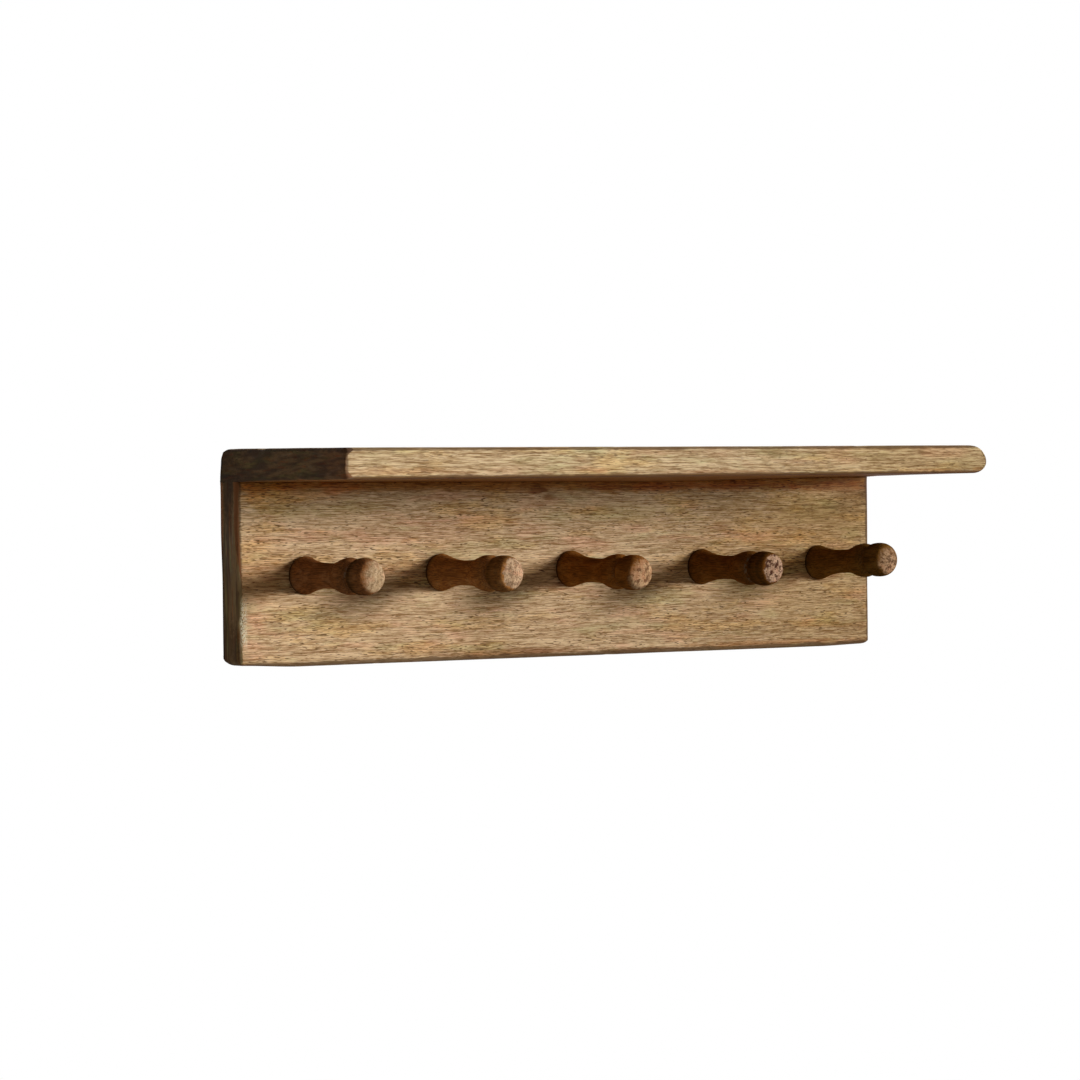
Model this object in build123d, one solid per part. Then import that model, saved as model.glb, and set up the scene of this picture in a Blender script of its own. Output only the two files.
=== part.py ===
from build123d import *
import os

os.makedirs("parts", exist_ok=True)

# Wall shelf with a rail of turned pegs, hand made from two planks.
# Millimetres. X runs along the rail, the front faces -Y, and +Z is up.
# The origin lies on the wall, halfway between the entry holes of the two keyhole hangers.

# ---- Planks ---------------------------------------------------------------------
LENGTH = 600.0              # both planks, along X
PLANK_THICKNESS = 22.0      # both planks are sawn from the same stock
BOARD_HEIGHT = 133.0        # back board, up to the underside of the shelf
SHELF_DEPTH = 160.0         # from the wall to the shelf's front edge
END_ROUND = 3.0             # rim of each end, eased by hand
SEAT_ROUND = 0.8            # edges beside the joint between the two planks
FRONT_ROUND = 4.0           # long front edges
WALL_ROUND = 8.0            # long back edges that lie against the wall
NOSE_LENGTH = 14.0          # worn upper edge of the shelf's right end, along X
NOSE_DROP = 11.5            # and down from the shelf's top

# ---- Pegs -----------------------------------------------------------------------
PEG_END_MARGIN = 55.0       # from the rail's end to the outer pegs
PEG_HEIGHT = 65.0           # from the rail's lower edge to the pegs' axes
FOOT_RADIUS = 13.8          # flared foot against the board
FOOT_EDGE = 1.5             # straight edge of the foot
WAIST_RADIUS = 9.1          # narrowest place, where a strap or loop lies
WAIST_REACH = 30.0          # from the board to the waist
NECK_RADIUS = 10.1          # where the waist begins to swell to the bead
NECK_REACH = 44.5
BEAD_RADIUS = 13.2          # bead behind the head
BEAD_REACH = 58.5
GROOVE_RADIUS = 10.8        # narrow groove between bead and head
GROOVE_REACH = 66.0
HEAD_RADIUS = 13.2          # barrel-shaped head
HEAD_REACH = 74.5
TIP_RADIUS = 10.4           # rim of the domed end
TIP_REACH = 85.0
TIP_DOME = 2.0              # height of the dome over its rim
TENON_RADIUS = 7.0
TENON_LENGTH = 16.0

# Each peg was set by hand: shift along X, shift along Z, lean upwards, lean towards +X.
# Shifts are millimetres from an even spacing, and leans are degrees from square.
PEG_SETTINGS = (
    (0.0, 0.0, -0.5, 0.7),
    (-2.8, 0.3, -0.6, 1.7),
    (-5.0, 1.0, -2.0, 0.7),
    (1.3, 0.6, -0.9, 0.3),
    (0.3, 2.1, 1.8, -1.8),
)

# ---- Dowels between the planks --------------------------------------------------
DOWEL_RADIUS = 4.0
DOWEL_COUNT = 4
DOWEL_END_MARGIN = 60.0     # from the rail's end to the outer dowels
DOWEL_IN_SHELF = 13.0
DOWEL_IN_BOARD = 22.0
DOWEL_CHAMFER = 0.8

# ---- Keyhole hangers ------------------------------------------------------------
HANGER_SPACING = 400.0      # between the two wall screws
HANGER_HEIGHT = 90.0        # from the rail's lower edge to the entry holes
PLATE_THICKNESS = 1.6
PLATE_WIDTH = 17.0
PLATE_CORNER = 4.0
PLATE_MARGIN = 5.5          # from a fixing screw to the plate's end
ENTRY_RADIUS = 4.5          # lets the head of the wall screw in
SLOT_WIDTH = 4.6            # holds the shank of the wall screw
SLOT_RISE = 10.0            # from the entry hole to the slot's upper end
POCKET_RADIUS = 6.0         # room behind the plate for the head of the wall screw
POCKET_DEPTH = 9.0          # from the wall
SCREW_DISTANCE = 4.5        # from the pocket to a fixing screw's axis

# ---- Fixing screws of the hangers -----------------------------------------------
HEAD_TOP_RADIUS = 3.2
SHANK_RADIUS = 1.6
SCREW_LENGTH = 13.0
POINT_LENGTH = 2.5
DRIVE_SPAN = 3.4            # tip to tip of the cross recess
DRIVE_WIDTH = 0.7
DRIVE_DEPTH = 0.8

# ---- Clearances -----------------------------------------------------------------
GLUE_GAP = 0.1              # around tenons and dowels
HOLE_RELIEF = 1.0           # left for glue at the end of a tenon or dowel
PLATE_GAP = 0.2             # around a hanger plate in its recess
SCREW_GAP = 0.1             # around a fixing screw

# ---- Places worked out from the sizes -------------------------------------------
RAIL_BOTTOM = -HANGER_HEIGHT
SEAT_LEVEL = RAIL_BOTTOM + BOARD_HEIGHT
SHELF_TOP = SEAT_LEVEL + PLANK_THICKNESS
BOARD_FRONT = -PLANK_THICKNESS
LOWER_SCREW = -POCKET_RADIUS - SCREW_DISTANCE
UPPER_SCREW = SLOT_RISE + POCKET_RADIUS + SCREW_DISTANCE
PLATE_BOTTOM = LOWER_SCREW - PLATE_MARGIN
PLATE_TOP = UPPER_SCREW + PLATE_MARGIN
OVERRUN = 1.0               # how far a cut runs past a face


def even_places(count, span):
    """Places along X, spread evenly from -span/2 to +span/2."""
    if count == 1:
        return [0.0]
    return [span * (i / (count - 1) - 0.5) for i in range(count)]


def y_cylinder(radius, front, back, x=0.0, z=0.0):
    """A cylinder along Y, between two values of Y."""
    return Location((x, (front + back) / 2, z), (90, 0, 0)) * Cylinder(radius, back - front)


def upright_slot(radius, rise, front, back, x=0.0, z=0.0):
    """A cutter along Y whose outline is a circle at (x, z), drawn out upwards by rise."""
    lower = y_cylinder(radius, front, back, x, z)
    upper = y_cylinder(radius, front, back, x, z + rise)
    between = Location((x, (front + back) / 2, z + rise / 2)) * Box(2 * radius, back - front, rise)
    return lower + upper + between


# ---- Shelf and back board -------------------------------------------------------
def plank(front, bottom, top, rounded_edges):
    """A plank against the wall. rounded_edges gives (y, z, radius) for long edges to round."""
    corners = ((front, bottom), (front, top), (0.0, top), (0.0, bottom))
    solid = extrude(Plane.YZ * Polygon(*corners, align=None), LENGTH / 2, both=True)
    for y, z, radius in rounded_edges:
        long_edges = solid.edges().filter_by(Axis.X)
        solid = fillet(long_edges.sort_by_distance((0.0, y, z))[0], radius)
    return solid


def ease_ends(solid, top=None):
    """Rounds the edges of both ends. With a top, the edges that lie on that level stay."""
    for side in (0, -1):
        rim = solid.faces().sort_by(Axis.X)[side].edges()
        eased = [edge for edge in rim if top is None or edge.center().Z < top]
        solid = fillet(eased, END_ROUND)
    return solid


def nose_cut():
    """What is worn off the upper edge of the shelf's right end: a block less a quarter of an ellipse."""
    centre = (LENGTH / 2 - NOSE_LENGTH, OVERRUN, SHELF_TOP - NOSE_DROP)
    section = Plane(centre, x_dir=(1, 0, 0), z_dir=(0, -1, 0))
    width = NOSE_LENGTH + OVERRUN
    height = NOSE_DROP + OVERRUN
    block = section * Pos(width / 2, height / 2) * Rectangle(width, height)
    kept = section * Ellipse(NOSE_LENGTH, NOSE_DROP)
    return extrude(block - kept, SHELF_DEPTH + 2 * OVERRUN)


def dowel_places():
    return even_places(DOWEL_COUNT, LENGTH - 2 * DOWEL_END_MARGIN)


def dowel(x, growth=0.0, extra_length=0.0):
    """One dowel across the joint, or the hole for it when it is grown by the clearances."""
    bottom = SEAT_LEVEL - DOWEL_IN_BOARD - extra_length
    top = SEAT_LEVEL + DOWEL_IN_SHELF + extra_length
    place = Location((x, BOARD_FRONT / 2, (bottom + top) / 2))
    return place * Cylinder(DOWEL_RADIUS + growth, top - bottom)


def dowel_holes():
    return [dowel(x, GLUE_GAP, HOLE_RELIEF) for x in dowel_places()]


def shelf():
    rounded_edges = (
        (-SHELF_DEPTH, SEAT_LEVEL, FRONT_ROUND),
        (-SHELF_DEPTH, SHELF_TOP, FRONT_ROUND),
        (0.0, SHELF_TOP, WALL_ROUND),
        (0.0, SEAT_LEVEL, SEAT_ROUND),
    )
    solid = ease_ends(plank(-SHELF_DEPTH, SEAT_LEVEL, SHELF_TOP, rounded_edges))
    return solid - nose_cut() - dowel_holes()


def back_board():
    """The board, whose upper edges stay nearly square so that they close against the shelf."""
    rounded_edges = ((BOARD_FRONT, RAIL_BOTTOM, FRONT_ROUND), (0.0, RAIL_BOTTOM, WALL_ROUND))
    board = ease_ends(plank(BOARD_FRONT, RAIL_BOTTOM, SEAT_LEVEL, rounded_edges), SEAT_LEVEL)
    board = fillet(board.faces().sort_by(Axis.Z)[-1].edges(), SEAT_ROUND) - dowel_holes()
    board -= [place * peg_socket() for place in peg_places()]
    for x in hanger_places():
        board -= hanger_recess(x)
    return board


def shelf_dowels():
    solids = []
    for x in dowel_places():
        pin = dowel(x)
        solids.append(chamfer(pin.edges().filter_by(GeomType.CIRCLE), DOWEL_CHAMFER))
    return solids


# ---- Turned pegs ----------------------------------------------------------------
def peg_places():
    """One frame for each peg: its origin on the board's face, +Z along the peg."""
    places = []
    even = even_places(len(PEG_SETTINGS), LENGTH - 2 * PEG_END_MARGIN)
    for x, (shift_x, shift_z, lean_up, lean_right) in zip(even, PEG_SETTINGS):
        spot = Location((x + shift_x, BOARD_FRONT, RAIL_BOTTOM + PEG_HEIGHT + shift_z))
        places.append(spot * Rotation(0, 0, lean_right) * Rotation(90 - lean_up, 0, 0))
    return places


def peg_outline():
    """Half the outline of a peg, in a plane whose X is the radius and whose Y is the reach."""
    foot = (FOOT_RADIUS, FOOT_EDGE)
    waist = (WAIST_RADIUS, WAIST_REACH)
    neck = (NECK_RADIUS, NECK_REACH)
    bead = (BEAD_RADIUS, BEAD_REACH)
    groove = (GROOVE_RADIUS, GROOVE_REACH)
    head = (HEAD_RADIUS, HEAD_REACH)
    rim = (TIP_RADIUS, TIP_REACH)
    crown = (0.0, TIP_REACH + TIP_DOME)
    foot_back = (FOOT_RADIUS, -OVERRUN)
    axis_back = (0.0, -OVERRUN)
    flare = Spline(foot, waist, tangents=[(-0.3, 1.0), (0.0, 1.0)])
    swell = Spline(waist, neck, bead, tangents=[(0.0, 1.0), (0.0, 1.0)])
    shoulder = Spline(bead, groove, tangents=[(0.0, 1.0), (-1.0, 0.8)])
    barrel = Spline(groove, head, rim, tangents=[(0.8, 1.0), (-0.9, 1.0)])
    dome = RadiusArc(rim, crown, -dome_radius())
    return [Line(axis_back, foot_back), Line(foot_back, foot), flare, swell, shoulder, barrel, dome,
            Line(crown, axis_back)]


def dome_radius():
    return (TIP_RADIUS ** 2 + TIP_DOME ** 2) / (2 * TIP_DOME)


def peg(place):
    """A turned peg whose foot is cut flush with the board's face, with its tenon behind."""
    turned = place * revolve(Plane.XZ * make_face(peg_outline()), Axis.Z)
    reach = 2 * (OVERRUN + FOOT_RADIUS)
    behind = Location((place.position.X, BOARD_FRONT + reach / 2, place.position.Z))
    turned -= behind * Box(2 * reach, reach, 2 * reach)
    tenon = Pos(0, 0, (FOOT_EDGE - TENON_LENGTH) / 2) * Cylinder(TENON_RADIUS, TENON_LENGTH + FOOT_EDGE)
    return turned + place * tenon


def peg_socket():
    depth = TENON_LENGTH + HOLE_RELIEF
    return Pos(0, 0, (OVERRUN - depth) / 2) * Cylinder(TENON_RADIUS + GLUE_GAP, depth + OVERRUN)


# ---- Hangers and their screws ---------------------------------------------------
def hanger_places():
    return (-HANGER_SPACING / 2, HANGER_SPACING / 2)


def screw_places():
    return [(x, z) for x in hanger_places() for z in (LOWER_SCREW, UPPER_SCREW)]


def plate_block(x, growth, front, back):
    """The outline of a hanger plate as a block along Y."""
    width = PLATE_WIDTH + 2 * growth
    height = PLATE_TOP - PLATE_BOTTOM + 2 * growth
    outline = RectangleRounded(width, height, PLATE_CORNER + growth)
    plane = Plane((x, back, (PLATE_BOTTOM + PLATE_TOP) / 2), x_dir=(1, 0, 0), z_dir=(0, -1, 0))
    return extrude(plane * outline, back - front)


def hanger_plate(x):
    """A steel plate, flush with the board's back, with a keyhole and two countersunk holes."""
    plate = plate_block(x, 0.0, -PLATE_THICKNESS, 0.0)
    plate -= y_cylinder(ENTRY_RADIUS, -PLATE_THICKNESS - OVERRUN, OVERRUN, x)
    plate -= upright_slot(SLOT_WIDTH / 2, SLOT_RISE, -PLATE_THICKNESS - OVERRUN, OVERRUN, x)
    for z in (LOWER_SCREW, UPPER_SCREW):
        plate -= countersink(x, z)
    return plate


def hanger_recess(x):
    """What the board loses for one hanger: the plate's seat, the pocket and two pilot holes."""
    seat = plate_block(x, PLATE_GAP, -PLATE_THICKNESS, OVERRUN)
    pocket = upright_slot(POCKET_RADIUS, SLOT_RISE, -POCKET_DEPTH, OVERRUN, x)
    pilots = [
        y_cylinder(SHANK_RADIUS + SCREW_GAP, -SCREW_LENGTH - HOLE_RELIEF, OVERRUN, x, z)
        for z in (LOWER_SCREW, UPPER_SCREW)
    ]
    return [seat, pocket] + pilots


def screw_section(growth, depth, point):
    """Half the section of a countersunk screw: X is the radius, and Y is the depth."""
    head_edge = HEAD_TOP_RADIUS + growth
    shank = SHANK_RADIUS + growth
    cone = head_edge - shank
    corners = [(0, 0), (head_edge, 0), (shank, cone), (shank, depth - point), (0, depth)]
    return Plane.XZ * Polygon(*corners, align=None)


def countersink(x, z):
    cutter = revolve(screw_section(SCREW_GAP, PLATE_THICKNESS + OVERRUN + HEAD_TOP_RADIUS, 0.0), Axis.Z)
    return Location((x, 0, z), (90, 0, 0)) * cutter


def hanger_screw(x, z):
    """A countersunk wood screw, driven flush into the plate from the back."""
    screw = revolve(screw_section(0.0, SCREW_LENGTH, POINT_LENGTH), Axis.Z)
    for turn in (0, 90):
        bar = Box(DRIVE_SPAN, DRIVE_WIDTH, 2 * DRIVE_DEPTH)
        screw -= Rotation(0, 0, turn) * bar
    return Location((x, 0, z), (90, 0, 0)) * screw


# ---- Nodes ----------------------------------------------------------------------
def write(name, solids):
    export_step(solids, f"parts/{name}.step")


write("back_board", back_board())
write("shelf", shelf())
for number, place in enumerate(peg_places(), start=1):
    write(f"peg_{number}", peg(place))
write("shelf_dowels", Compound(children=shelf_dowels()))
for name, x in zip(("hanger_plate_left", "hanger_plate_right"), hanger_places()):
    write(name, hanger_plate(x))
write("hanger_screws", Compound(children=[hanger_screw(x, z) for x, z in screw_places()]))
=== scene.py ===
import math
from functools import cache

import bmesh
import bpy
import numpy as np
from bpy.props import FloatProperty, FloatVectorProperty, IntProperty, PointerProperty
from mathutils import Matrix, Vector, noise


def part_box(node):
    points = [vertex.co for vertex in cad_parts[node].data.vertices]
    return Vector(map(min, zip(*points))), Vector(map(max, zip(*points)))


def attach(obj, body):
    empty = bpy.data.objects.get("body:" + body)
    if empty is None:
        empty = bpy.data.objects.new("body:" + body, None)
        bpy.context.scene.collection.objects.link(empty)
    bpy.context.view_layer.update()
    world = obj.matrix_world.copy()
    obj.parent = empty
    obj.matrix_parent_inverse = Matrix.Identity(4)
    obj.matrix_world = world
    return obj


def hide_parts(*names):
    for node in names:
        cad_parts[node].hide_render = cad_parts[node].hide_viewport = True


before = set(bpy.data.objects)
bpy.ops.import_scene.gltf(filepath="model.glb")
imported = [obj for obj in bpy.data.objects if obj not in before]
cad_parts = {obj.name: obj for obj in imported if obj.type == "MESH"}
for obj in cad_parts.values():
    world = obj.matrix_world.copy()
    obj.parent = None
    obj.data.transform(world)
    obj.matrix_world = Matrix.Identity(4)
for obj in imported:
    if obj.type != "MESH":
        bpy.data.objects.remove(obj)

bl_info = {
    "name": "Peg rail with shelf",
    "version": (1, 0, 0),
    "blender": (4, 5, 0),
    "location": "3D View > Sidebar > Peg rail",
    "description": "Worn planks, turned pegs and keyhole hangers of a wall shelf with a peg rail",
    "category": "Object",
}

MM = 0.001
TINY = 1e-9
X, Y, Z = 0, 1, 2
LOW, HIGH = 0, 1
BOARD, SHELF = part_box("back_board"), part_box("shelf")
BOARD_FRONT, SEAT_LEVEL = BOARD[LOW].y, SHELF[LOW].z
CENTRE = (SHELF[LOW] + BOARD[HIGH]) / 2
PEG_NODES = sorted(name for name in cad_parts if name.startswith("peg_"))
PLATE_NODES = sorted(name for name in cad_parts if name.startswith("hanger_plate_"))


# ---- Sizes and colours a user may change ----------------------------------------
def number(name, description, default, unit="NONE"):
    return FloatProperty(name=name, description=description, default=default, unit=unit, precision=5)


def length(name, description, millimetres):
    return number(name, description, millimetres * MM, "LENGTH")


def angle(name, description, degrees):
    return number(name, description, math.radians(degrees), "ROTATION")


def colour(name, description, default):
    return FloatVectorProperty(
        name=name, description=description, default=default, subtype="COLOR", size=3, min=0.0, max=1.0
    )


class PegRailPlanks(bpy.types.PropertyGroup):
    """Shape of the two worn planks"""

    step: length("Step", "Distance between points on a plank's faces", 1.6)
    front_round: length("Front rounding", "Rounding of the long front edges", 4.2)
    under_round: length("Under rounding", "Rounding of the shelf's front edge below", 2.2)
    wall_round: length("Wall rounding", "Rounding of the long edges on the wall", 9.0)
    wall_drop: length("Wall drop", "How far down the shelf's edge on the wall is rounded", 11.5)
    end_round: length("End rounding", "Rounding of the edges of each end", 3.4)
    back_round: length("Back rounding", "Rounding of the upright edges on the wall", 0.7)
    proud: length("Proud", "How far the ends stand past the sawn length", 1.0)
    seat_round: length("Seat rounding", "Rounding of the edges beside the joint of the planks", 0.6)
    nose_length: length("Nose length", "How far the shelf's worn right end reaches along the top", 17.6)
    nose_drop: length("Nose drop", "How far the worn right end reaches down", 12.7)
    toe_length: length("Toe length", "How far the worn right end reaches along the underside", 14.5)
    toe_rise: length("Toe rise", "How far the worn right end reaches up from the underside", 8.6)
    hollow: length("Hollows", "Depth of the hollows left by hand planing", 0.25)
    sag: length("Sag", "How far the rail's lower edge stands below the sawn edge", 0.6)
    corner_wear: length("Corner wear", "Rise of the rail's lower edge at its left corner", 2.0)
    far_corner_wear: length("Far corner wear", "Rise of the rail's lower edge at its right corner", 1.0)
    lean: length("Lean", "How far the top of the rail's left end stands out", 0.9)
    far_lean: length("Far lean", "How far the top of the rail's right end stands out", 0.7)
    shelf_lean: length("Shelf lean", "How far the shelf's left end stands out below", 1.0)
    seat_left: length("Seat left", "Rise of the planks' joint from the left end to the middle", -0.9)
    seat_right: length("Seat right", "Rise of the planks' joint at the right end", 3.0)
    lift_left: length("Lift left", "Rise of the shelf's front edge at the left end", -1.8)
    lift_right: length("Lift right", "Rise of the shelf's front edge at the right end", 3.3)
    back_rise: length("Back rise", "Extra thickness of the shelf's back at the left end", 1.8)


class PegRailPegs(bpy.types.PropertyGroup):
    """Shape of the turned pegs"""

    around: IntProperty(name="Points around", description="Points in one ring of a peg", default=88)
    ring_gap: length("Ring gap", "Distance between two rings of points", 0.6)
    oval: number("Oval", "How far a peg is from round, as a share of its radius", 0.006)
    dents: length("Dents", "Depth of the small flats along a peg", 0.12)
    seat: length("Seat", "How far a foot sits into the planed hollows of the board", 0.45)


class PegRailPlankColours(bpy.types.PropertyGroup):
    """Colours of the planks"""

    pale: colour("Pale", "Pale streaks of the long grain", (0.66, 0.475, 0.28))
    mid: colour("Middle", "Body of the long grain", (0.44, 0.285, 0.145))
    deep: colour("Deep", "Dark streaks of the long grain", (0.25, 0.135, 0.055))
    pore: colour("Pore", "Open pores", (0.12, 0.062, 0.026))
    end: colour("End", "Oiled end grain", (0.24, 0.155, 0.08))
    end_deep: colour("End deep", "Dark bands of the end grain", (0.085, 0.05, 0.028))
    arris: colour("Arris", "Rubbed edges of the ends", (0.22, 0.085, 0.032))
    # Also stands for painted shade on the lower handled edges
    grime_and_shade: colour("Grime", "Handled long edges", (0.11, 0.06, 0.028))
    frayed: colour("Frayed", "Scuffed pale fibres", (0.62, 0.56, 0.4))


class PegRailPegColours(bpy.types.PropertyGroup):
    """Colours of the pegs and dowels"""

    body: colour("Body", "Body of the turned wood", (0.215, 0.07, 0.0135))
    deep: colour("Deep", "Dark streaks of the turned wood", (0.1, 0.033, 0.0075))
    glow: colour("Glow", "Worn streaks of the turned wood", (0.27, 0.105, 0.028))
    # Also stands for a painted sheen in the groove
    dust_and_sheen: colour("Dust", "Pale dust in the groove", (0.23, 0.18, 0.13))
    dowel: colour("Dowel", "Beech dowels", (0.55, 0.38, 0.2))
    dowel_deep: colour("Dowel fleck", "Flecks of the beech", (0.36, 0.22, 0.11))


class PegRailMetals(bpy.types.PropertyGroup):
    """Colours of the hangers and their screws"""

    zinc: colour("Zinc", "Zinc-plated plate", (0.6, 0.6, 0.58))
    zinc_dull: colour("Dull zinc", "Dull patches of the plate", (0.42, 0.42, 0.4))
    brass: colour("Yellow zinc", "Yellow-plated screws", (0.66, 0.58, 0.4))
    brass_dull: colour("Dull yellow zinc", "Dull patches of the screws", (0.44, 0.36, 0.22))


class PegRailStage(bpy.types.PropertyGroup):
    """Camera, lamps, floor and surroundings"""

    camera: FloatVectorProperty(
        name="Camera", description="Place of the camera", default=(-1.6, -2.11, 0.00702), subtype="XYZ",
        unit="LENGTH",
    )
    yaw: angle("Yaw", "How far the camera looks to the right of +Y", 36.88)
    pitch: angle("Pitch", "How far the camera looks up", -0.195)
    roll: angle("Roll", "How far the camera leans", -0.627)
    lens: number("Lens", "Focal length on the sensor, in millimetres", 115.27, "CAMERA")
    sensor: number("Sensor", "Width of the sensor, in millimetres", 36.0, "CAMERA")
    key_power: number("Key power", "Power of the key lamp in watts", 15.5, "POWER")
    key_spread: angle("Key spread", "Opening of the key lamp's beam", 30.0)
    key_aim: length("Key aim", "How far past the rail's left end the key lamp points", 900)
    key_turn: angle("Key turn", "How far the key lamp stands to the right of the front", 44.0)
    key_rise: angle("Key rise", "How far the key lamp stands above the rail", 7.5)
    key_distance: length("Key distance", "From the rail to the key lamp", 4500)
    key_width: length("Key width", "Width of the key lamp", 1500)
    key_height: length("Key height", "Height of the key lamp", 1150)
    fill_up: number("Fill from above", "Strength of the surroundings above", 0.3)
    fill_down: number("Fill from below", "Strength of the surroundings below", 0.19)
    fill: colour("Fill", "Colour of the surroundings", (1.0, 0.91, 0.76))
    floor_drop: length("Floor drop", "From the rail's lower edge down to the floor", 500)
    floor_reach: length("Floor reach", "Radius of the floor", 6000)
    fade_from: length("Fade from", "Radius at which the floor starts to fade into the white", 500)
    fade_to: length("Fade to", "Radius at which the floor has faded into the white", 1150)
    floor: colour("Floor", "Colour of the floor", (0.82, 0.82, 0.82))
    bounce: number("Bounce", "Share of the floor's light that reaches the rail from below", 0.6)
    floor_glow: number("Floor glow", "How much the floor is lifted towards white where it is seen", 0.6)


class PegRailSettings(bpy.types.PropertyGroup):
    """All sizes and colours of the peg rail"""

    planks: PointerProperty(type=PegRailPlanks)
    pegs: PointerProperty(type=PegRailPegs)
    plank_colours: PointerProperty(type=PegRailPlankColours)
    peg_colours: PointerProperty(type=PegRailPegColours)
    metals: PointerProperty(type=PegRailMetals)
    stage: PointerProperty(type=PegRailStage)


# ---- Node trees -----------------------------------------------------------------
VALUE, COLOUR = 0, 1        # the outputs of a noise
SURFACE = {"Colour": "Color", "Roughness": "Float", "Height": "Float"}
WHITE, BLACK = (1.0, 1.0, 1.0), (0.0, 0.0, 0.0)


class Tree:
    """Adds and links the nodes of one node tree"""

    def __init__(self, tree):
        self.tree = tree

    def feed(self, socket, value):
        """Links a socket to a socket, or sets its value"""
        if isinstance(value, bpy.types.NodeSocket):
            self.tree.links.new(value, socket)
        elif socket.type == "RGBA" and len(value) == 3:
            socket.default_value = (*value, 1.0)
        else:
            socket.default_value = value

    def node(self, kind, inputs=(), **settings):
        """A new node, with its inputs by name or number, or in their own order"""
        made = self.tree.nodes.new(kind)
        for name, value in settings.items():
            setattr(made, name, value)
        for key, value in inputs.items() if isinstance(inputs, dict) else enumerate(inputs):
            self.feed(made.inputs[key], value)
        return made

    def math(self, operation, *values, clamp=False):
        return self.node("ShaderNodeMath", values, operation=operation, use_clamp=clamp).outputs[0]

    def product(self, first, *others):
        for other in others:
            first = self.math("MULTIPLY", first, other)
        return first

    def blend(self, first, *others):
        """The sum of values, each times its weight"""
        total = self.math("MULTIPLY", *first)
        for value, weight in others:
            total = self.math("MULTIPLY_ADD", value, weight, total)
        return total

    def vector(self, operation, *values):
        made = self.node("ShaderNodeVectorMath", values, operation=operation)
        return made.outputs[1] if operation == "LENGTH" else made.outputs[0]

    def scaled(self, vector, factor):
        inputs = {0: vector, "Scale": factor}
        return self.node("ShaderNodeVectorMath", inputs, operation="SCALE").outputs[0]

    def millimetres(self, vector):
        return self.scaled(vector, 1 / MM)

    def axes(self, vector):
        """The sockets of a vector's X, Y and Z"""
        return self.node("ShaderNodeSeparateXYZ", (vector,)).outputs

    def mix(self, factor, first, second, blend="MIX"):
        inputs = {0: factor, 6: first, 7: second}
        return self.node("ShaderNodeMix", inputs, data_type="RGBA", blend_type=blend).outputs[2]

    def tint(self, under, tint, mask=1.0):
        """Multiplies a tint in where the mask is 1"""
        return self.mix(mask, under, tint, "MULTIPLY")

    def cover(self, under, over, value, start, end, most=1.0):
        """Lays one colour over another as a value goes from start to end"""
        return self.mix(self.ramp(value, start, end, most), under, over)

    def mix_values(self, factor, first, second):
        return self.math("MULTIPLY_ADD", self.math("SUBTRACT", second, first), factor, first)

    def ramp(self, value, start, end, high=1.0, low=0.0):
        """Runs smoothly from low to high as the value goes from start to end"""
        inputs = (value, start, end, low, high)
        return self.node("ShaderNodeMapRange", inputs, interpolation_type="SMOOTHSTEP").outputs[0]

    def noise(self, place, size, detail=2.0, roughness=0.5, output=VALUE):
        """Noise whose blots are about size millimetres along X, Y and Z of a place in millimetres"""
        stretched = self.vector("MULTIPLY", place, tuple(1.0 / side for side in size))
        inputs = {"Vector": stretched, "Scale": 1.0, "Detail": detail, "Roughness": roughness}
        return self.node("ShaderNodeTexNoise", inputs).outputs[output]

    def painted(self, name):
        """A number painted on the mesh"""
        return self.node("ShaderNodeAttribute", attribute_name=name).outputs["Fac"]

    def rays(self):
        """1 for light that is seen straight, in gloss or through glass, and 1 for soft light"""
        rays = self.node("ShaderNodeLightPath").outputs
        seen = self.math("MAXIMUM", rays["Is Camera Ray"], rays["Is Glossy Ray"])
        return self.math("MAXIMUM", seen, rays["Is Transmission Ray"]), rays["Is Diffuse Ray"]

    def place(self, group, **inputs):
        """Puts a node group into this tree and gives its outputs"""
        return self.node("ShaderNodeGroup", inputs, node_tree=group).outputs


class Group(Tree):
    """A shader node group. outputs gives the kind of each, and numbers gives the defaults"""

    def __init__(self, name, outputs, vectors=("Place",), numbers=None, colours=()):
        super().__init__(bpy.data.node_groups.new(name, "ShaderNodeTree"))
        numbers = numbers or {}
        inputs = dict.fromkeys(vectors, "Vector")
        inputs |= dict.fromkeys(numbers, "Float") | dict.fromkeys(colours, "Color")
        for way, sockets in (("INPUT", inputs), ("OUTPUT", outputs)):
            for socket, kind in sockets.items():
                made = self.tree.interface.new_socket(socket, in_out=way, socket_type=f"NodeSocket{kind}")
                if socket in numbers:
                    made.default_value = numbers[socket]
        self.inputs = self.node("NodeGroupInput").outputs
        self.output = self.node("NodeGroupOutput")

    def give(self, **values):
        """Feeds the group's outputs"""
        for name, value in values.items():
            self.feed(self.output.inputs[name], value)
        return self.tree


STRAW, PINK, MOSS = (1.08, 1.0, 0.78), (1.07, 0.93, 0.95), (0.88, 0.98, 0.88)
GREENISH, RUSTY, ASHEN = (0.95, 1.2, 0.95), (1.25, 0.8, 0.62), (1.2, 1.32, 1.6)
ROSY, SMOKY = (1.04, 0.86, 0.84), (0.62, 0.56, 0.5)


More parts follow.
